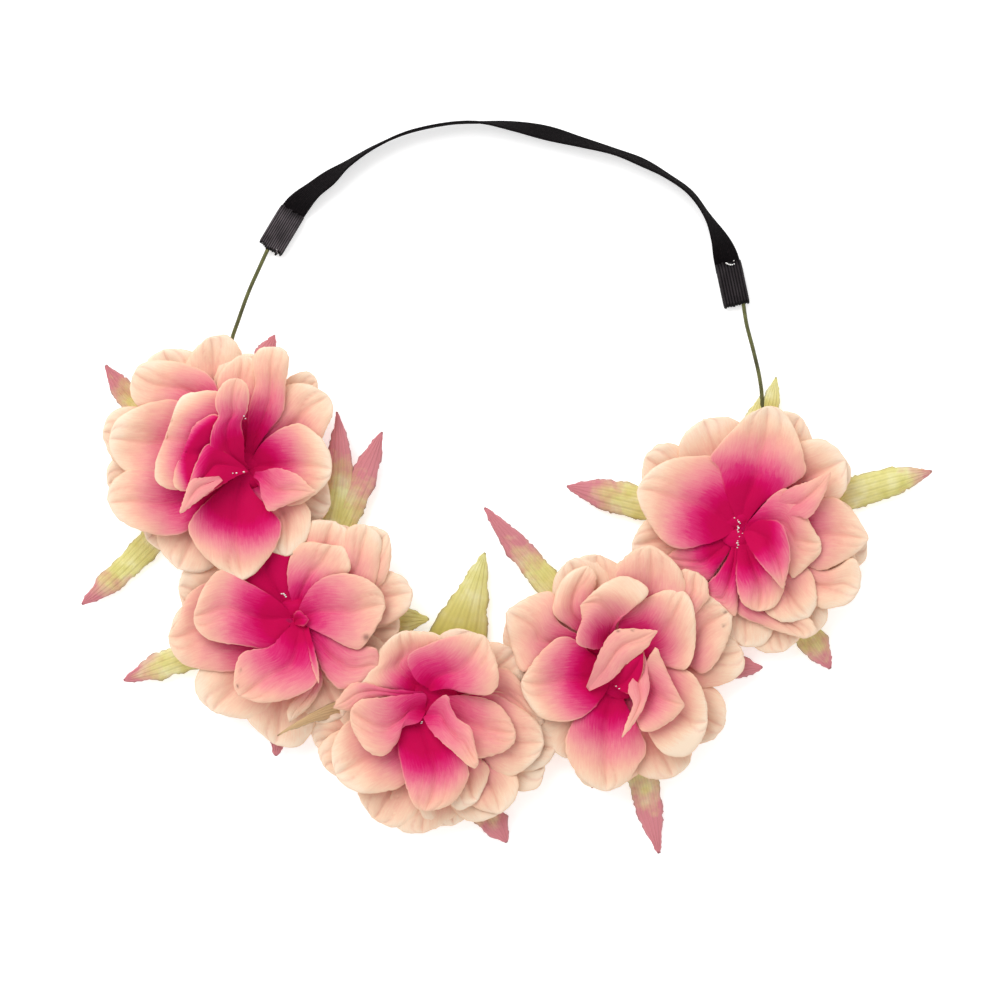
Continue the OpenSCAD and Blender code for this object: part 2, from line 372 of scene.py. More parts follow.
# How a petal is shaped, in millimetres: the rise of its sides for each one of its half width,
# the crease along its veins, the cushions beside them, and the turned-down edge.
DISH, CREASE, CUSHION, EDGE_ROLL = 0.1, 0.5, 0.9, 0.5
# Heights and sizes of the slow waves that it shares with its neighbours, and of its own ripples
# and ruffled edge.
WAVE, WAVE_SIZE = 1.6, 13
RIPPLE, RIPPLE_SIZE = 0.5, 4.5
RUFFLE, RUFFLE_SIZE = 1.2, 6
# The widths of its veins, ruffle, turned-down edge and pale rim, and of the frayed edge with how
# far that strays.
VEIN_WIDTH, RUFFLE_WIDTH, ROLL_WIDTH, RIM_WIDTH = 0.35, 1.5, 0.5, 0.45
FRAY_WIDTH, FRAY = 0.25, 0.3
# Strength of the painted shade along its veins, the painted highlight on its rim, and its brown spots.
CREASE_SHADE, RIM_HIGHLIGHT, SPOT_TINT = 0.3, 0.6, 0.8
# A head leans in by this share of its distance from the crown's middle for each millimetre of
# height above LEAN_FROM.
HEAD_LEAN = 0.0012
LEAN_FROM = 8
# The dyed disc that closes a flower's eye: height, usual radius, and outline for a radius of 1.
THROAT_Z = 10.1
THROAT_REACH = 6
THROAT_RING = ((-1, 0), (-0.7, 0.7), (0, 1), (0.7, 0.7), (1, 0), (-0.7, -0.7), (0, -1), (0.7, -0.7))
# The low petals fade from their feet on. Their edges are shares of the length and the width.
LOW_DYE = -0.2
LOW_EDGE = ((0.3, 0.62), (0.58, 0.93), (0.80, 0.92), (0.94, 0.60))
# How far round a speck of glue the cloth's highest point is looked for.
SPECK_REACH = 0.9
# For each layer: heights of its first petal's foot and tip, and how much higher the next lies.
LAYERS = {"outer": (6.4, 8.2, 0.15), "second": (6.7, 8.8, 0.15), "third": (7.6, 12.5, 0.45),
          "inner": (10.6, 17.0, 0.6), "heart": (12.5, 23.0, 0.5)}

# Each flower, in millimetres from its head's centre:
#   eye     the place that its petals' feet surround
#   throat  radius of the disc in its eye, where that isn't THROAT_REACH
#   glue    x, y and size of each speck of glue
#   spots   place and size of each brown spot on its petals
#   low     petals of the two lowest layers in turn: direction in degrees, reach and width
#   third, inner, heart
#       petals of the layers above, lowest first: foot, one edge, tip and other edge in plan, how
#       far along the dye starts to fade (below 0 it's paler from the foot on, above 1 it never
#       fades), extra heights of foot and tip, and the tip's tint where it isn't 1
FLOWER_1 = {
    "eye": (8.7, -4.5),
    "glue": [(5.6, -5.6, 0.25), (6.6, -5.5, 0.3), (8.6, -5.2, 0.35), (9.4, 11.2, 0.3), (9.7, 10.5, 0.25)],
    "low": [(117, 35.5, 20), (94, 35.3, 19), (36, 37, 14), (-24, 37, 17), (-52, 37, 19), (251, 36, 22),
            (230, 33, 18), (195, 34, 18), (169, 35, 20), (70, 32, 20)],
    "third": [
        ((9, -5), [(22, -11), (27.5, -17), (27, -24), (24, -29)], (20.3, -30.3),
         [(10, -12), (13, -22), (15.2, -28)], 0.05, 0, 1.8),
        ((9, -2), [(15, 10), (20, 20), (27, 21)], (33, 17.5), [(28, 2), (32.5, 8), (34.5, 13)], 0.1, 0, 0),
        ((8, -1), [(3, 12), (0, 20), (1.5, 25.5)], (7, 29.5),
         [(12, 10), (13.5, 20), (12.5, 27)], 0.18, 0, 0),
        ((8.7, -2), [(9, 8), (9.5, 14), (11.3, 21), (10.5, 28), (12.8, 31.4)], (16.5, 31.8),
         [(14, 5.5), (19.4, 12.6), (20.3, 21.5), (21.2, 28), (19.8, 31)], 0.22, 0, 3),
        ((6, -1), [(-5, 9), (-14, 13.5), (-23, 14), (-26, 18.5)], (-25, 24),
         [(3, 10), (0, 19.5), (-3, 24), (-10, 27), (-17.5, 28), (-22.5, 27)], 0.3, 0, 0),
        ((7, -3), [(-2, 9), (-11, 15.5), (-17, 16.2), (-24, 14), (-30, 10.3)], (-32.2, 4.5),
         [(-5, -6), (-14, -10), (-22, -8.5), (-28, -4.5), (-31.3, -0.5)], 0.34, 0, 0),
        ((6, -5.5), [(-5, -4), (-16, -5), (-25, -4.5), (-29.5, -6.5), (-32.3, -10)], (-32.5, -14.5),
         [(0, -14), (-8, -22), (-14, -24.2), (-22, -23), (-29.2, -19.4)], 0.36, 0, 0),
    ],
    "inner": [
        ((9.5, -3.5), [(13, 3), (18.5, 7.4), (24.5, 9), (30, 5.5), (33.3, 0.5)], (34, -4.5),
         [(12, -9), (18, -14.5), (24, -15), (29.5, -11.5), (32.8, -8.3)], 0.3, -1, -2),
        ((8, -5.5), [(0, -11), (-6, -17), (-8.7, -21.8), (-6.5, -27), (-2, -32.2), (3.4, -35.8)],
         (7.5, -37.2), [(10, -10), (14, -15), (18.8, -20.3), (17.8, -26.5), (14, -32.2), (10.7, -35.8)],
         0.46, -1, -1),
    ],
    "heart": [
        ((7, -4), [(-4, -9), (-12, -10.6), (-17.3, -9), (-18.5, -5.5), (-17.8, -1)], (-15.5, 3.5),
         [(5, 8), (1, 17.5), (-5, 18.4), (-10.5, 17), (-12.8, 12.5), (-13.9, 8)], 0.6, -1, -3, 0.66),
        ((7.5, -4), [(-2, -9), (-10, -11), (-12.9, -9), (-12.2, -4)], (-9.6, 0.5),
         [(6, 6), (0, 11.3), (-4, 10.5), (-7.4, 7.5), (-8, 3)], 0.95, -1, -2, 0.9),
        ((8.3, -3.8),
         [(1, -2.5), (-2, 0.8), (-2.2, 4.3), (-1, 8.5), (0.4, 11), (-0.6, 14), (0, 18), (2.6, 21.2)],
         (5.8, 21.9), [(8, -1.6), (7.8, 4.5), (6.9, 9), (8.6, 12.6), (9.2, 16.8), (8.2, 20.5)],
         0.34, 0, 2, 0.85),
        ((11, -6), [(12.5, -8.5), (12.9, -12), (14.2, -15.5), (15.5, -17), (20, -15.3), (25, -13.2)],
         (28.9, -11.3), [(13.5, -5), (18, -4.2), (23.5, -6.2), (27, -9.5)], -0.25, -1, -4, 0.82),
        ((8.8, -4.6), [(3, 0), (-2.6, 3), (-5.8, -1.8), (-7.8, -7), (-9.8, -13.5)], (-11, -17.4),
         [(5, -7), (-2.6, -11.8), (-8, -15.6)], 0.5, 0, -1, 0.9),
        ((1, -7.3), [(-3, -7), (-7.8, -8), (-9.9, -13.5)], (-11, -17.5),
         [(0.4, -9), (-2.6, -11.5), (-8, -15.7)], -3.0, 5.5, -0.5, 0.66),
    ],
}
FLOWER_2 = {
    "eye": (2, 2),
    "glue": [(-2, 9.4, 0.3), (-1.4, 9.4, 0.35), (-1, 9, 0.35), (-0.7, 8.5, 0.35)],
    "spots": [((22.9, -4), 0.9), ((-14.5, -14), 0.4), ((-15.2, -18.5), 0.4)],
    "low": [(161, 35, 20), (186, 36, 21), (229, 34.5, 24), (263, 36, 23), (39, 37, 16), (13, 37, 15),
            (-3, 33, 18), (60, 34, 22), (120, 32, 22), (-60, 32, 20), (-30, 31, 20)],
    "third": [
        ((1.5, 3), [(-6, 6), (-13, 11), (-17, 16), (-15, 22)], (-6, 24.5),
         [(1.5, 10), (2.5, 17), (2, 22)], 1.3, 0.8, 0.8),
        ((0, 1), [(-14, 10), (-24, 12.5), (-30.3, 8.5), (-33, 1.5)], (-36, -3.5),
         [(-8, -8), (-15, -13.5), (-24, -13.8), (-31.5, -11.8), (-35, -8)], 0.2, 0, -2, 0.9),
        ((4, 2), [(15, 12), (24, 15.5), (29, 16), (34, 14.3)], (36.8, 9.5),
         [(14, -4), (24, -1), (31.5, 1), (35.8, 4.9)], 0.12, 0, -1),
        ((4, 4), [(14, 20), (22, 28), (25.5, 29)], (29.3, 27),
         [(15, 8), (26, 11), (29.5, 15.5), (30.5, 22)], 0.05, 0, 0),
        ((3, 4), [(2, 16), (5, 25), (6.3, 30.5)], (13, 30.6), [(10, 10), (16, 20), (18, 27)], 0.28, 0, 0),
        ((4, 3.5), [(10, 14), (15, 22), (17.7, 28.5)], (23, 29.5),
         [(14, 5), (22, 9), (25.7, 12.5), (27, 19.6), (27.5, 25.5)], 0.08, 0, 0),
        ((4, -8), [(6, -17), (0, -24.5)], (0.3, -29), [(10, -16), (6.5, -24)], 0.1, 1, -2),
        ((5, -1), [(12, -4), (20, -6.5), (26, -7.5)], (26.3, -12.5),
         [(8, -8), (10, -13.5), (14.4, -18.9), (19.8, -18.6)], -0.15, 0, 0, 0.66),
    ],
    "inner": [
        ((2.5, 4), [(0.5, 8), (-0.3, 12), (-0.3, 17.5), (2.1, 22.5), (6, 24.5)], (12.5, 23.2),
         [(6, 7.5), (12, 12), (17.8, 15.5), (17.8, 20), (16, 22.9)], 0.1, -1, -2, 0.85),
        ((1, 2), [(-4, 7.5), (-13.8, 13.3), (-20, 16), (-24, 12.8), (-26.8, 7.5)], (-28.3, 2.3),
         [(-1.5, -3), (-6, -7.2), (-13.8, -6.4), (-20, -5.6), (-24.7, -4.2), (-27.7, -1)],
         0.3, -1, -1, 0.85),
        ((2.5, 1.5), [(3.5, 6), (6.5, 10.8), (11, 14), (17, 14.9), (23, 13.3), (27.3, 9.6)], (28.5, 5.5),
         [(7, -1.5), (12, -4), (17, -6.7), (20.9, -7.4), (24.2, -3.8), (27.3, 1.5)], -0.05, -1, -1, 0.85),
        ((3, 1), [(-2, -3), (-6, -7), (-13.5, -8.5), (-16, -13.5), (-16.2, -18.5)], (-14.5, -21.5),
         [(5.5, -1.5), (7.6, -8.6), (8.5, -16.5), (4.5, -20.4), (-1.5, -22.7), (-8.5, -23.4)],
         0.17, -1, 0, 0.85),
    ],
    "heart": [
        ((5, -1), [(5.4, -6), (7, -13)], (8.8, -17.5), [(6.8, -5), (8.5, -12)], 0.3, 0.5, -4, 0.7),
        ((1.5, 0.6), [(1.6, 3), (3, 4)], (5.6, 1.4), [(3, -0.4), (4.6, -0.4)], 0.4, -1.5, -9, 0.22),
    ],
}
FLOWER_3 = {
    "eye": (-1, 5.3),
    "throat": 11,
    "glue": [(-2.6, 2.6, 0.4), (-2.4, 3.2, 0.25)],
    "low": [(186, 35, 17), (199, 33.5, 18), (237, 31.3, 21), (266, 30.6, 22), (284, 29, 19), (309, 32, 20),
            (342, 36, 20), (352, 38, 18), (43, 35.3, 19), (64, 32.3, 21), (101, 29.9, 22), (126, 27, 19),
            (165, 29, 14)],
    "third": [
        ((1, 7), [(12, 16), (20, 18.8), (25.5, 16.5)], (33.5, 3.5),
         [(14, 6), (24, 3), (30, 0.5)], 0.15, 0, -1),
        ((2, 5), [(12, 9), (19, 10.8), (26.2, 7), (32, 2.5)], (33.9, -3.5),
         [(10, -3), (15.5, -8), (20, -12.5), (25.5, -13.2), (31.7, -8.5)], 0.08, 0, 0),
        ((3, 2), [(17, -8), (25.5, -13), (25.5, -20)], (20.5, -24.7),
         [(5, -10), (9, -18), (13, -22.7)], 0.22, 0, -1),
        ((2, 3), [(12, -6), (17.5, -11.5)], (14, -20.7), [(2, -10), (4, -18), (8, -23.7)], 0.34, 0, 0),
        ((-2, 4), [(-14, 5), (-22, 4.2), (-26.7, 0.5), (-29.5, -6)], (-28.2, -13),
         [(-4, -8), (-7.3, -15.5), (-13.5, -18.2), (-20.5, -18.6), (-25.5, -16.4)], 0.2, 0, 0),
        ((-1.5, 11.3), [(-10, 12.3), (-22.5, 13.8), (-17, 18.8), (-16.2, 22), (-13, 26.6)], (-8.5, 29.4),
         [(-0.5, 18), (3, 25), (1.5, 28.4), (-3.5, 29.5)], 0.22, 0, 0),
        ((-2, 10.8), [(-8, 12), (-14, 12.6), (-19, 14), (-24, 13.4)], (-28.6, 7),
         [(-8, 9.6), (-14, 10.2), (-19, 8.6), (-24, 6)], -0.1, 2, 2, 0.8),
    ],
    "inner": [
        ((2, 6), [(4.8, 10.2), (11.3, 10.4), (18.7, 8.6), (23, 4.4)], (25.2, -0.5),
         [(7, -2), (10, -6), (14, -8.2), (20.2, -7), (24.4, -4.3)], -0.2, -1, -1, 0.82),
        ((-2.5, 3), [(-6.5, 2), (-9.6, -1), (-9.6, -6), (-8, -13.5), (-6, -20), (-4.2, -22.9)],
         (-1.5, -23.9), [(2.4, 0.5), (8, -4.6), (11.1, -11), (10.9, -15), (7.3, -20.9), (2.5, -23.4)],
         0.34, -1, 0, 0.85),
        ((-1.5, 6.3), [(-1.5, 10.9), (-6, 10.8), (-13, 9.8), (-20.5, 8.9)], (-23.6, 6),
         [(-3.5, 2.4), (-8.5, 0.8), (-9.6, -3), (-13.5, -7.4), (-18, -6.7), (-21.2, -3.2), (-23.4, 1.5)],
         -0.02, -1, 1, 0.8),
        ((-0.5, 12.2), [(-4.5, 15.2), (-6.7, 20), (-5.6, 23.1), (-1.1, 25.3), (5.4, 27.4), (11.3, 28.5)],
         (16, 27.9), [(5, 12.4), (11, 11), (17, 10.4), (20, 13.5), (19.8, 19), (18.1, 24.2)],
         0.1, 1, 1, 0.85),
    ],
    "heart": [
        ((-1.6, 4.5), [(0.2, 7.4), (3.2, 9.9), (5.3, 10), (6, 6.8), (8.4, 3), (11.9, 0.6), (12.7, -3)],
         (14.1, -9.5), [(-0.6, 0.8), (2.5, -2.8), (6, -5.8), (10.5, -10), (12.9, -11.4)], -0.35, 0, 0, 0.8),
    ],
}
FLOWER_4 = {
    "eye": (0.2, -3),
    "glue": [(-1.5, -4.5, 0.3), (-0.6, -5.2, 0.25)],
    "spots": [((31.4, 17), 0.45), ((31, 13), 0.4), ((-0.5, 11), 0.4), ((3.8, 11.2), 0.4)],
    "low": [(155, 37, 23), (115, 36, 19), (101, 35, 18), (74, 37.5, 23), (46, 36, 17), (9, 37, 19),
            (-29, 35.5, 19), (-64, 36, 20), (263, 36, 22), (239, 31, 19), (205, 32, 20)],
    "third": [
        ((-2, 2), [(-10, 9), (-18.8, 14.5), (-19.7, 22.5), (-26, 22.2)], (-33.6, 17.3),
         [(-12, 3), (-22, 2), (-29, -1), (-31.7, 4.2), (-33.6, 11.3)], 0.22, 0, 0),
        ((-3, 6), [(-14, 12), (-19.7, 16.5), (-19, 23), (-15.5, 28.5)], (-9.5, 30.7),
         [(-6, 12), (-8.5, 20), (-7, 27)], 0.2, 0, 0),
        ((6, 4), [(14, 14), (20, 22.6), (26, 22)], (33, 17.7),
         [(14, 4), (21, 0.5), (24.5, -1.3), (28, 1), (31.2, 6.5), (33.2, 12.5)], 0.06, 0, 0),
        ((-1.5, -5), [(-8, -9), (-14, -15.5), (-16.2, -22), (-15.6, -26.5), (-12, -32), (-8, -35.2)],
         (-3.8, -36.4), [(2, -11), (6, -18.5), (7.8, -24), (5.5, -28.5), (1.5, -34)], 0.24, 0, 0),
        ((-2, -1), [(-8, 4), (-13, 8.5), (-18.5, 9.2), (-24.6, 3.7)], (-29.3, -3.5),
         [(-5, -8), (-10, -13.5), (-16, -15.7), (-23.9, -14.2), (-28.4, -8.5)], 0.3, 0, 0),
        ((4, -5), [(12, 0.5), (18.8, 0), (22.7, -3), (25.4, -9)], (25.9, -15.5),
         [(6, -12), (8, -18), (12, -24.5), (17, -26.2), (21, -25.2), (24.6, -20.5)], 0.14, 0, 1),
        ((6, 5), [(16, 20), (18, 29)], (22.5, 28.8),
         [(14, 8), (25.5, 20), (26.3, 22.7), (25.8, 26.2)], 0.1, -2.5, 0.8, 0.9),
        ((3, 6), [(-1, 20), (-1, 29), (3, 34.5)], (9, 36.5),
         [(12, 10), (18.9, 22.5), (18, 29), (14.5, 33.3)], 0.1, -2.8, 1.2, 0.9),
    ],
    "inner": [
        ((2, 6), [(-0.5, 12), (1, 16.6), (5, 19.2), (10.5, 22.3), (15, 23.5)], (18.9, 23),
         [(8, 3.5), (14, 0.7), (19.6, 0), (22, 5), (22.4, 12.5), (21.4, 19.5)], 0.16, -1, 0),
        ((-2.5, 8), [(-7, 5.8), (-12.4, 7.1), (-12.8, 10), (-11.3, 14.5)], (-11.4, 19),
         [(-1.5, 12), (0.5, 16), (4, 18.3), (8.5, 22.6), (5, 26.2), (0.4, 27.2), (-5, 25)],
         0.0, -1, 1, 0.8),
    ],
    "heart": [
        ((4.5, -7), [(5.5, -3), (7.3, 0.7), (10.4, 6), (12, 3.5), (14.2, -1.5), (17.5, -8.2)], (19, -10.9),
         [(4.6, -13), (6.5, -18.4), (11, -18), (16, -14.8)], -0.25, -1, -3, 0.8),
        ((-2.5, -4.5), [(0, -0.5), (3, 2.6)], (6.8, 4.6), [(1, -7), (3.6, -7), (6.6, -1.5)], 1.0, 0, -3),
        ((3.6, 0.5), [(6.6, 4.8), (8, 1), (8.6, -5.7), (7, -11.3), (4, -16.4)], (0.7, -20.3),
         [(4.6, -1.5), (2.6, -5), (2.8, -8), (3.9, -10.6), (2.2, -15.4)], -1.5, 3, -1, 0.76),
        ((-9.6, -6), [(-8.4, -1), (-5, 7), (-1.4, 11.1), (3.2, 11.7), (8, 11.4)], (11, 11),
         [(-2.5, -3.3), (1.8, 1.3), (7.4, 5.6), (9.9, 9.3)], -3.0, -0.5, -2.5, 0.72),
    ],
}
FLOWER_5 = {
    "eye": (-2.9, 0.3),
    "glue": [(-4.4, 3.6, 0.25), (-3.4, 2.9, 0.2), (-3.1, 2.4, 0.35), (-2.7, 2, 0.2), (-3.3, 1.1, 0.25),
             (-3.1, 0.6, 0.4), (-3.4, 0, 0.25), (-3.2, -0.6, 0.3), (-2.3, -1, 0.15), (-2.9, -2, 0.2),
             (-3.4, -3.3, 0.25), (-3.5, -3.9, 0.4), (-3.3, -4.5, 0.3), (-3.6, -5.3, 0.25)],
    "low": [(145, 37.8, 19), (112, 35.6, 23), (65, 37.3, 17), (40, 36, 21), (-4, 35.6, 23), (-26, 37, 21),
            (-74, 38, 20), (-57, 37, 17), (268, 35, 19), (187, 35, 17), (225, 31, 19)],
    "third": [
        ((2, 4), [(9, 17), (14, 25), (21, 27), (26, 24.7)], (29, 20.5),
         [(14, 8), (24, 8), (28.8, 11), (29.5, 16)], 0.06, 0, 0),
        ((4, -3), [(16, -9), (24, -12), (31.2, -8.6), (33.6, -12.5)], (33.2, -18),
         [(10, -13), (16, -20), (22.5, -23.6), (29.7, -22)], 0.04, 0, 0),
        ((5, 0), [(14, 4.5), (24, 9.6), (30, 6.5), (34, 1.2)], (35.8, -3),
         [(12, -7), (18, -11), (23, -12), (31.6, -7.5)], 0.08, 0, 0),
        ((0, -6), [(8, -16), (16, -24), (20.5, -30)], (17, -32.5),
         [(-2, -16), (-3.5, -24.5), (4, -28.5), (11, -31)], 0.1, 0, -1),
        ((2, -5), [(9, -9), (15, -12.1), (18, -11.8), (19.9, -16), (20.4, -21.5)], (18, -26.2),
         [(2, -14), (3, -21), (6, -25.4), (11, -27.7)], 0.12, 0, 0),
        ((-4, 0.5), [(-4.5, 12), (-8.5, 20.8), (-16.5, 21.7), (-24, 20.4), (-30, 16.7)], (-33, 11.8),
         [(-8, -2.8), (-13.5, -4.6), (-20, -5.8), (-25, -3.8), (-29.2, 1.5), (-32.2, 7)], 0.26, 0, 0),
        ((-2, 1), [(-6, 9), (-9, 18.5), (-11.4, 21), (-8, 25.7), (-4, 30), (0.2, 34)], (5.5, 36.4),
         [(4, 7.5), (10, 11.6), (16.7, 16.2), (16.4, 21.5), (15.1, 26.5), (12.9, 31.6), (10, 35.4)],
         0.36, 0, 1),
    ],
    "inner": [
        ((-4, -0.5), [(-9, -2.6), (-15, -3.8), (-21, -5.8)], (-24, -8.2),
         [(-5.5, -6), (-9, -11.5), (-12.5, -15.6), (-20.8, -12.7)], 0.42, -2, -5, 0.6),
        ((-4, -2), [(-5.5, -7), (-9, -13), (-12.2, -16.5)], (-11, -20.7),
         [(-3, -9), (-3, -18), (-3.8, -25.7), (-7, -23.2)], 0.42, -2, -4, 0.5),
        ((-2, -2), [(-3.3, -8), (-3.5, -16), (-1.5, -22.2)], (3, -24.4),
         [(1.5, -4), (6, -10), (10.1, -15), (10.5, -18.5), (7.6, -23.2)], 0.36, -2, -2, 0.8),
        ((8, 5), [(11.3, 11.4), (18, 14.1), (22.7, 16.3)], (24.4, 16.9),
         [(14, 3.8), (18, 3.4), (22, 9), (24.1, 14.8)], -1.2, 1, 0, 0.76),
        ((-1, 0.5), [(2.5, 5), (7.5, 10.2), (11.3, 12), (15.2, 8), (18.2, 2)], (21.6, -4),
         [(6, -4), (11, -9), (12.8, -14.2), (15, -13.4), (20.7, -8)], 0.1, -2, -4, 0.85),
    ],
    "heart": [
        ((-1, -0.5), [(3, 2.5), (8.8, 2.2), (11.1, -1.3), (12.4, -8)], (10.4, -17.2),
         [(0.5, -6), (4, -10.8), (7.5, -14.7)], 0.4, 1, -2, 0.7),
    ],
}
FLOWERS = [FLOWER_1, FLOWER_2, FLOWER_3, FLOWER_4, FLOWER_5]

HEAD_NAMES = ["flower_%d" % number for number in range(1, 6)]


def head_centre(name):
    low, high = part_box(name + "_calyx")
    return (Vector(low) + Vector(high)) / 2 / MM


def plan(place):
    return Vector((*place, 0))


def even_points(path, count):
    """Points at even spaces along a smooth curve through path."""
    curve = spline(path, 8)
    runs = [0.0]
    for a, b in zip(curve, curve[1:]):
        runs.append(runs[-1] + (b - a).length)
    out, k = [], 0
    for i in range(count):
        want = runs[-1] * i / (count - 1)
        while k < len(runs) - 2 and runs[k + 1] < want:
            k += 1
        share = (want - runs[k]) / max(1e-6, runs[k + 1] - runs[k])
        out.append(curve[k].lerp(curve[k + 1], min(1, share)))
    return out


def petal(sheet, centre, outline, dye, foot_z, tip_z, pale, seed, spots=()):
    """One pressed petal over its plan outline, in millimetres; returns its area.

    Its dye starts to fade a share dye of the way along, and reaches the tint pale at its tip.
    """
    foot, left, tip, right = outline
    foot, tip = plan(foot), plan(tip)
    left, right = [plan(p) for p in left], [plan(p) for p in right]
    along = tip - foot
    length = along.length
    across = UP.cross(along.normalized()) * FOOT_HALF_WIDTH
    if (left[-1] - right[-1]).dot(across) < 0:
        across = -across
    turn = (right[-1] - left[-1]) * 0.16
    edges = (even_points([foot + across] + left + [tip - turn * 0.4, tip], PETAL_ROWS),
             even_points([foot - across] + right + [tip + turn * 0.4, tip], PETAL_ROWS))
    luck = random.Random(seed)
    shift = luck.uniform(0, 50)
    shade = luck.uniform(-0.04, 0.04)
    ruffle = luck.uniform(0.3, 0.9)
    fork_at = luck.uniform(0.30, 0.62)
    fork_sides = luck.choice([(1, 1), (1, 0.3), (0.3, 1)])
    start = len(sheet.points)
    # u runs from 0 at the foot to 1 at the tip, and s from -1 to 1 across. A point's distance
    # from the foot is out, in petal lengths, and its distance from the edge is inside.
    for i in range(PETAL_ROWS):
        u = i / (PETAL_ROWS - 1)
        a, b = edges[0][i], edges[1][i]
        half = (b - a).length / 2
        room = min(1, half / 6)
        for j in range(PETAL_COLUMNS):
            s = math.sin(math.pi / 2 * (2 * j / (PETAL_COLUMNS - 1) - 1))
            point = a.lerp(b, (s + 1) / 2)
            inside = min((1 - abs(s)) * half, (1 - u) * length)
            out = min(1.15, (point - foot).length / length)
            if inside < FRAY_WIDTH and u > 0.2:
                point += Vector((noise.noise(point * 1.6), noise.noise(point * 1.6 + UP * 5), 0)) * FRAY
            fork = 0.8 * (u - fork_at) / (1 - fork_at)
            vein = math.exp(-abs(s) * half / VEIN_WIDTH) * min(1, 3 * u)
            if fork > 0:
                branch = math.exp(-abs(abs(s) - fork) * half / VEIN_WIDTH)
                vein = max(vein, fork_sides[s > 0] * branch)
            place = centre + point
            z = foot_z + (tip_z - foot_z) * (1 - (1 - min(1, out)) ** 1.7)
            z += DISH * half * s * s * (1.2 - u) - CREASE * vein * room
            z += CUSHION * room * math.sin(math.pi * min(1, abs(s))) * math.sin(math.pi * u)
            z += WAVE * noise.noise(place / WAVE_SIZE) * min(1, 1.5 * out)
            z += RIPPLE * noise.noise(place / RIPPLE_SIZE + UP * shift) * out
            near_edge = math.exp(-inside / RUFFLE_WIDTH)
            z += ruffle * RUFFLE * noise.noise(place / RUFFLE_SIZE + UP * (shift + 7)) * near_edge * out
            z -= EDGE_ROLL * math.exp(-inside / ROLL_WIDTH) * out
            place.x -= centre.x * HEAD_LEAN * (z - LEAN_FROM)
            place.y -= centre.y * HEAD_LEAN * (z - LEAN_FROM)
            place.z = z
            tint = pale * (out + 0.05 * s * s + shade - dye) / max(0.3, 1 - dye)
            # The rim value is a painted highlight along the petal's edge.
            rim = RIM_HIGHLIGHT * pale * max(0, 1 - inside / RIM_WIDTH) * min(1, max(0, 2.5 * out - 0.8))
            spot = max([math.exp(-((point - plan(at)).length / size) ** 2)
                        for at, size in spots], default=0)
            # The vein value carries painted shade along the creases.
            sheet.add(place, (s * half / 10, out * length / 10), tint=tint, edge=rim,
                      vein=CREASE_SHADE * vein * room, spot=SPOT_TINT * spot)
    sheet.grid(PETAL_ROWS, PETAL_COLUMNS, start)
    area = 0.0
    for a, b, c, d in sheet.faces[-(PETAL_ROWS - 1) * (PETAL_COLUMNS - 1):]:
        points = sheet.points
        area += (points[c] - points[a]).cross(points[d] - points[b]).length / 2
    return area / MM / MM


def low_petal(eye, direction, reach, width, seed):
    """A low petal's plain outline from its direction, reach and width."""
    luck = random.Random(seed)
    tip = polar(direction, reach)
    foot = eye * 0.3 + (tip - eye * 0.3).normalized() * 2.5
    along = tip - foot
    side = UP.cross(along.normalized()) * width / 2
    skew = luck.uniform(-0.07, 0.07)
    edges = []
    for way in (1, -1):
        edges.append([tuple((foot + along * (u + way * skew * u) + side * way * w).xy)
                      for u, w in LOW_EDGE])
    return tuple(foot.xy), edges[0], tuple(tip.xy), edges[1]


def head(number, name, flower):
    """The four petal layers, the heart and the specks of glue of one flower head."""
    centre = head_centre(name)
    centre.z = 0
    eye = plan(flower["eye"])
    rows = {key: list(flower.get(key, [])) for key in LAYERS}
    tops = []
    for k, low in enumerate(flower["low"]):
        outline = low_petal(eye, *low, number * 100 + k)
        rows["second" if k % 2 else "outer"].append((*outline, LOW_DYE, 0, 0.5 * (k % 3)))
    for key, petals in rows.items():
        sheet = Sheet()
        area = 0.0
        foot_z, tip_z, step = LAYERS[key]
        for k, (foot, left, tip, right, dye, more_foot, more_tip, *pale) in enumerate(petals):
            area += petal(sheet, centre, (foot, left, tip, right), dye, foot_z + step * k + more_foot,
                          tip_z + step * k + more_tip, pale[0] if pale else 1.0,
                          number * 1000 + len(key) * 100 + k, flower.get("spots", ()))
        if key == "third":
            reach = flower.get("throat", THROAT_REACH)
            ring = [(eye.x + reach * x, eye.y + reach * y) for x, y in THROAT_RING]
            area += petal(sheet, centre, (ring[0], ring[1:4], ring[4], ring[5:]), dye=3.0,
                          foot_z=THROAT_Z, tip_z=THROAT_Z, pale=0.0, seed=number * 50)
        tops.extend(point / MM for point in sheet.points)
        piece = sheet.build("%s_%s_petals" % (name, key), PETAL, PETAL_CLOTH)
        finish_piece(piece, "front", name + ("_heart" if key == "heart" else "_petals_" + key))
    sheet = Sheet()
    for k, (x, y, size) in enumerate(flower["glue"]):
        at = centre + Vector((x, y, 0))
        at.z = max(top.z for top in tops if (top - at).xy.length < SPECK_REACH)
        blob(sheet, at, (size, size * 0.7, size * 0.6), number * 9 + k, 6, 8)
    finish_piece(sheet.build(name + "_glue_specks", GLUE), "front")


def finish_piece(piece, body, *nodes):
    """Hangs a piece on its body, in place of the CAD nodes named."""
    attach(piece, body)
    if nodes:
        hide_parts(*nodes)


# ---- leaves

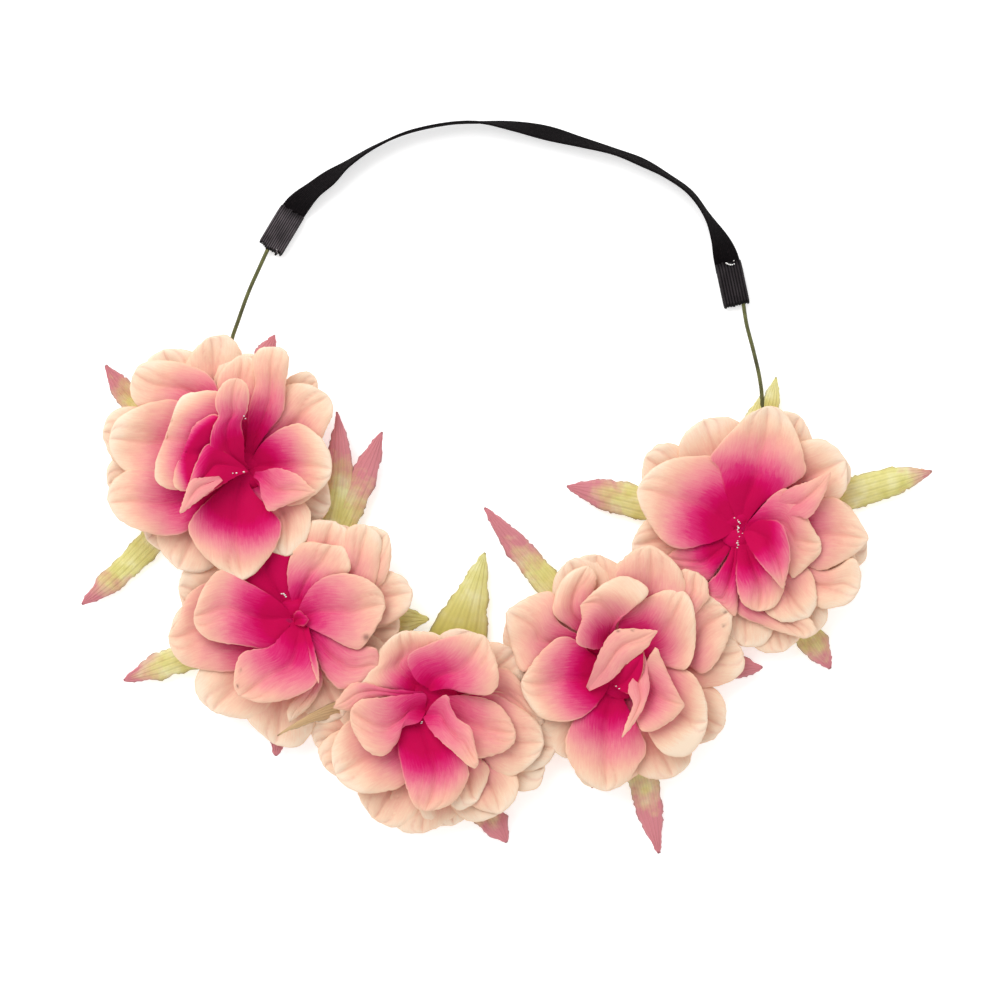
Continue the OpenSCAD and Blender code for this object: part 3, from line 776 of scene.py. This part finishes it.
# The leaves of each flower: direction, length, width, height of the tip, sideways curl, how far
# along it turns mauve, and where it differs the share of its length that narrows to the tip and
# how brown it is.
LEAVES = [
    [(18, 30, 9, 4, -3, 0.9), (65, 40, 9, 5, 0, 0.72), (155, 42, 10, 7, -10, 0.80),
     (233, 61, 10, 3, -6, 0.84), (300, 44, 9, 3, 0, 0.9)],
    [(2, 42, 11, 4, 0, 1.2), (62.5, 64.3, 11, 5, 2, 0.66, 0.2), (65, 64, 12, 6, 14, 0.74, 0.22),
     (196.5, 53, 11, 3, 2, 0.84, 0.22), (264, 40, 10, 3, 0, 0.72)],
    [(10, 42, 9, 3, 0, 0.9), (73, 56, 22, 4, 0, 1.15, 0.5), (125, 40, 9, 3, 0, 0.9),
     (153, 40, 10, 17, 21, 1.3, 0.4, 0.9), (304, 41, 12, 3, 0, 0.74)],
    [(2, 43, 10, 5, -1, 0.66), (62, 40, 9, 3, 0, 0.9), (130, 63.5, 10, 5, 0, 0.68, 0.24),
     (257, 37, 8, 3, 0, 0.7), (282, 57, 11, 3, 0, 0.66, 0.24)],
    [(19.5, 58.5, 12, 4, -2, 0.93, 0.2), (79, 47, 7, 2, 0, 1.2), (87, 40.5, 9, 2, -2.2, 1.2),
     (165.4, 56, 12.5, 4, 1, 0.76, 0.2), (234, 42, 9, 3, 0, 0.9), (300, 49, 12, 3, 1, 0.84)],
]
LEAF_ROWS, LEAF_COLUMNS = 70, 21
LEAF_CLOTH = 0.35
LEAF_RIBS, RIB_HEIGHT = 5, 0.16
# A leaf's bow for each millimetre of width, its waves' height, and how far its edge strays.
LEAF_BOW, LEAF_WAVE, LEAF_JAG = 0.12, 1.2, 0.7
# Over what share of its length its tint rises by 1.
MAUVE_FADE = 0.4
# How far a leaf's root lies from its flower's centre, and how much of its length x width it fills.
LEAF_ROOT = 2
LEAF_SHARE = 0.8


def leaf(sheet, centre, height, direction, length, width, tip_z, curl, mauve, taper=0.16, dry=0.0, seed=0):
    """One ribbed leaf with a ragged pointed tip, in millimetres; returns its area."""
    out = polar(direction, 1)
    side = UP.cross(out)
    luck = random.Random(seed)
    shift = luck.uniform(0, 50)
    start = len(sheet.points)
    for i in range(LEAF_ROWS):
        u = i / (LEAF_ROWS - 1)
        narrow = min(1, (1 - u) / taper) ** 0.7
        shape = max(0.04, narrow) * (1.0 - 0.35 * u)
        for j in range(LEAF_COLUMNS):
            s = 2 * j / (LEAF_COLUMNS - 1) - 1
            jag = noise.noise(Vector((u * 14, s, shift))) + 0.7 * noise.noise(Vector((u * 60, s, shift)))
            y = s * (width / 2 * shape + LEAF_JAG * abs(s) ** 7 * jag * min(1, 2 * u)) + curl * u ** 3
            point = centre + out * (LEAF_ROOT + u * (length - LEAF_ROOT)) + side * y
            ribs = RIB_HEIGHT * math.cos(s * math.pi * LEAF_RIBS)
            bow = LEAF_BOW * width * (1 - s * s) * narrow
            point.z = height + tip_z * u ** 1.6 + ribs + bow
            point.z += LEAF_WAVE * noise.noise(Vector((point.x / 12, point.y / 12, shift))) * u
            rim = 0.5 if abs(s) > 0.99 or u > 0.99 else 0.0
            tint = 0.5 + (u + 0.05 * abs(s) - mauve) / MAUVE_FADE
            sheet.add(point, (s, u * length / 10), tint=tint, edge=rim, vein=dry)
    sheet.grid(LEAF_ROWS, LEAF_COLUMNS, start)
    return length * width * LEAF_SHARE


def leaf_whorl(number, name):
    """The leaves behind one flower head, as one piece."""
    centre = head_centre(name)
    centre.z = 0
    low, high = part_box(name + "_leaf_whorl")
    sheet = Sheet()
    area = 0.0
    for k, row in enumerate(LEAVES[number]):
        area += leaf(sheet, centre, low[2] / MM + LEAF_CLOTH, *row, seed=number * 31 + k)
    piece = sheet.build(name + "_leaves", LEAF, LEAF_CLOTH)
    finish_piece(piece, "front", name + "_leaf_whorl")


# ---- wire

WIRE_Z = 2.6
WIRE_RADIUS = 0.6
FRONT_STEPS, ARM_STEPS = 12, 14
# How much an arm dips at the last place of its route, and how far into its fold it goes on.
ARM_DIP = 0.7
HOOK_DEPTHS = (0, 4, 8)
# The wire's way under the flowers. Its first and last places only steer the curve: the stretches
# next to them, hidden under two of the heads, have no wire.
FRONT_ROUTE = [(-84.2, 9), (-85, -10.5), (-78, -38), (-63.5, -61.5), (-44, -81.5), (-21, -93.5),
               (9, -91), (36, -75), (59, -55), (74.5, -33), (79, -14)]
# Each arm: the body it moves with, the way of its wire, of which the first place only steers the
# curve, its fold's mouth and direction in degrees, how far off the fold's middle line the wire
# enters it, the number of threads in the fold, how unevenly they start, and the strength of the painted
# highlight on their tops.
ARMS = {
    "left": {
        "body": "left_arm",
        "route": [(-85, -10.5), (-84.2, 9), (-81.6, 23), (-79.2, 30.5), (-76.2, 38.8), (-73.1, 46)],
        "fold": (-69.6, 52.2), "turn": 59, "entry": 0.6, "ribs": 12, "loose": 0.9, "highlight": 2.6,
    },
    "right": {
        "body": "right_arm",
        "route": [(74.5, -33), (79, -14), (79.2, 4.6), (78.5, 12.5), (76.6, 21), (74.6, 29)],
        "fold": (71.6, 35.2), "turn": 102, "entry": -2.0, "ribs": 9, "loose": 0.3, "highlight": 0.9,
    },
}
FOLD_LENGTH = 13.0
FOLD_HEIGHT = 3.3
THREAD_SIDES = 10
BAND_WIDTH = 7.8


def fold_point(arm, x, y, z):
    """The crown's point at x along a fold from its mouth, y to its side and height z."""
    turn = math.radians(arm["turn"])
    return Vector((arm["fold"][0] + x * math.cos(turn) - y * math.sin(turn),
                   arm["fold"][1] + x * math.sin(turn) + y * math.cos(turn), z))


def wires():
    """The wire under the flowers and its two arms."""
    route = spline([Vector((x, y, WIRE_Z)) for x, y in FRONT_ROUTE], FRONT_STEPS)
    sheet = Sheet()
    tube(sheet, route[FRONT_STEPS:-FRONT_STEPS], WIRE_RADIUS)
    finish_piece(sheet.build("wire_under_flowers", WIRE), "front", "wire_front")
    for key, arm in ARMS.items():
        *free, last = arm["route"]
        points = [Vector((x, y, WIRE_Z)) for x, y in free] + [Vector((*last, WIRE_Z - ARM_DIP))]
        points += [fold_point(arm, x, arm["entry"], FOLD_HEIGHT / 2) for x in HOOK_DEPTHS]
        sheet = Sheet()
        tube(sheet, spline(points, ARM_STEPS)[ARM_STEPS:], WIRE_RADIUS)
        piece = sheet.build("wire_%s_arm" % key, WIRE)
        # The third place is the hinge.
        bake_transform(piece)
        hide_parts("wire_arm_" + key)


# ---- elastic

# The band's route: x, y and lean of its width, where 0 lies flat and 90 stands on edge.
# It starts and ends inside the folds.
BAND_ROUTE = [
    (-64.6, 60.8, 0), (-61.6, 65, 12), (-57, 69.3, 40), (-51.6, 73.4, 48), (-46, 77.6, 70), (-38, 82.6, 80),
    (-28, 87, 84), (-16, 89.6, 84), (-6, 90, 82), (4, 88.9, 62), (14, 86.9, 50), (24, 84.2, 60),
    (34.5, 81.2, 70), (43, 77.9, 66), (50.5, 73.8, 74), (57.4, 68.8, 74), (62.4, 62, 72),
    (66.2, 55.2, 44), (68.3, 49.6, 10), (69.3, 45.5, 0),
]
# The place on the route where the two halves meet.
MIDDLE = 8
BAND_STEPS = 10
BAND_RIBS = 12
BAND_THICKNESS = 0.9
RIB_DEPTH = 0.28


def band_half(name, places):
    """The part of the ribbed flat elastic through some places of its route."""
    whole = spline([Vector(place) for place in BAND_ROUTE], BAND_STEPS)
    curve = whole[places.start * BAND_STEPS:places.stop * BAND_STEPS + 1]
    sheet = Sheet()
    section = []
    steps = BAND_RIBS * 6
    for side in (1, -1):
        for k in range(steps + 1):
            across = side * (k / steps * 2 - 1)
            rib = abs(math.cos(across * math.pi * BAND_RIBS / 2))
            round_off = (1 - abs(across) ** 12) ** 0.5 if abs(across) < 1 else 0
            thick = BAND_THICKNESS * (1 - RIB_DEPTH + RIB_DEPTH * rib) * round_off
            section.append((across * BAND_WIDTH / 2, side * thick / 2))
    run = 0.0
    for i, at in enumerate(curve):
        ahead = curve[min(i + 1, len(curve) - 1)] - curve[max(i - 1, 0)]
        flat = Vector((ahead.x, ahead.y, 0)).normalized()
        side = Vector((flat.y, -flat.x, 0))
        lean = math.radians(at.z)
        wide = side * math.cos(lean) + UP * math.sin(lean)
        thin = -side * math.sin(lean) + UP * math.cos(lean)
        z = BAND_WIDTH / 2 * math.sin(lean) + BAND_THICKNESS / 2 * math.cos(lean)
        run += (at - curve[max(i - 1, 0)]).xy.length
        for w, t in section:
            sheet.add(Vector((at.x, at.y, z)) + wide * w + thin * t, (w / BAND_WIDTH, run / 10))
    sheet.grid(len(curve), len(section), 0, closed=True)
    piece = sheet.build(name, BAND)
    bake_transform(piece)
    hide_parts("elastic_band")


def band_fold(key, arm):
    """The elastic's turned-back end: its threads loop side by side round the wire's hook."""
    sheet = Sheet()
    luck = random.Random(5 if key == "left" else 9)
    ribs = arm["ribs"]
    thread = BAND_WIDTH / ribs
    # A little over half, so that neighbouring threads touch.
    thread_radius = thread * 0.53
    low, high = BAND_THICKNESS / 2, FOLD_HEIGHT - BAND_THICKNESS / 2
    radius = (high - low) / 2
    for k in range(ribs):
        y = (k + 0.5) * thread - BAND_WIDTH / 2
        mouth = radius + luck.uniform(-arm["loose"], 0.1)
        end = FOLD_LENGTH + luck.uniform(-0.3, 0.2)
        bulge = luck.uniform(0, 0.25)
        local = [(end, low), (end * 0.6, low)]
        for degrees in range(0, 181, 20):
            bend = math.radians(degrees)
            local.append((mouth - radius * math.sin(bend), low + radius * (1 - math.cos(bend))))
        local += [(end * 0.35, high + bulge), (end * 0.6, high + bulge), (end * 0.85, high),
                  (end, high - 0.9)]
        path = spline([fold_point(arm, x, y, z) for x, z in local], 4)
        start = len(sheet.points)
        tube(sheet, path, thread_radius, THREAD_SIDES)
        # Painted highlight on each thread's top: points high on the tube get a tint.
        for i, point in enumerate(sheet.points[start:]):
            rise = (point / MM).z - path[i // THREAD_SIDES].z
            sheet.values["tint"][start + i] = max(0, rise / thread_radius - 0.75) * arm["highlight"]
    piece = sheet.build("band_end_" + key, FOLD)
    finish_piece(piece, arm["body"], "band_fold_" + key)


def fold_glue(key, arm):
    """Drops of glue in and on one fold: x and y along and across it, height and size."""
    sheet = Sheet()
    top = FOLD_HEIGHT + 0.4
    if key == "right":
        drops = [(12.5, 0.4, top, 0.22), (12.2, 0, top, 0.2), (12.0, -0.5, top, 0.22), (11.9, -1, top, 0.2),
                 (12.0, -1.6, top, 0.18), (12.8, 0.7, top, 0.2), (13.0, -1.7, top, 0.16)]
    else:
        drops = [(9.5, 0.5, FOLD_HEIGHT / 2, 0.8), (0.3, 2.8, 2.4, 0.3), (0.1, 2.3, 2.2, 0.2),
                 (0.0, -1.4, 2.3, 0.25), (-0.2, -2.3, 2.3, 0.35), (0.6, -1.9, 2.9, 0.2)]
    for k, (x, y, z, size) in enumerate(drops):
        blob(sheet, fold_point(arm, x, y, z), (size * 1.2, size, size * 0.8), k)
    finish_piece(sheet.build("glue_in_%s_fold" % key, GLUE), arm["body"], "fold_glue_" + key)


# ---- putting the crown together

for number, (name, flower) in enumerate(zip(HEAD_NAMES, FLOWERS)):
    leaf_whorl(number, name)
    head(number, name, flower)
wires()
band_half("elastic_left_half", range(0, MIDDLE))
band_half("elastic_right_half", range(MIDDLE, len(BAND_ROUTE) - 1))
for key, arm in ARMS.items():
    band_fold(key, arm)
    fold_glue(key, arm)

for name in HEAD_NAMES:
    for part, material in (("_calyx", CALYX), ("_pip", PIP), ("_glue_pad", GLUE)):
        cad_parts[name + part].material_slots[0].material = material


# ---- floor, light and camera

CAMERA_PLACE = (-0.0001, -0.02405, 0.843)
FLOOR_DEPTH = 0.0005


def studio():
    """A white table in soft light, with the camera above it."""
    scene = bpy.context.scene
    scene.view_settings.view_transform = "Standard"
    world = bpy.data.worlds.new("studio")
    scene.world = world
    world.use_nodes = True
    sky = world.node_tree.nodes["Background"]
    sky.inputs["Color"].default_value = (1, 1, 1, 1)
    sky.inputs["Strength"].default_value = 0.78
    bpy.ops.mesh.primitive_plane_add(size=6, location=(0, 0, -FLOOR_DEPTH))
    floor = bpy.context.object
    floor.name = "floor"
    floor.data.materials.append(floor_material())
    light = bpy.data.lights.new("softbox", "AREA")
    light.shape = "RECTANGLE"
    light.size, light.size_y = 1.0, 1.0
    light.energy = 11.0
    lamp = bpy.data.objects.new("softbox", light)
    lamp.location = (-0.5, 0.7, 1.1)
    lamp.rotation_euler = (Vector((0, 0, 0)) - lamp.location).to_track_quat("-Z", "Y").to_euler()
    scene.collection.objects.link(lamp)
    camera_data = bpy.data.cameras.new("camera")
    camera_data.lens = 100
    camera = bpy.data.objects.new("camera", camera_data)
    camera.location = CAMERA_PLACE
    scene.collection.objects.link(camera)
    scene.camera = camera


studio()
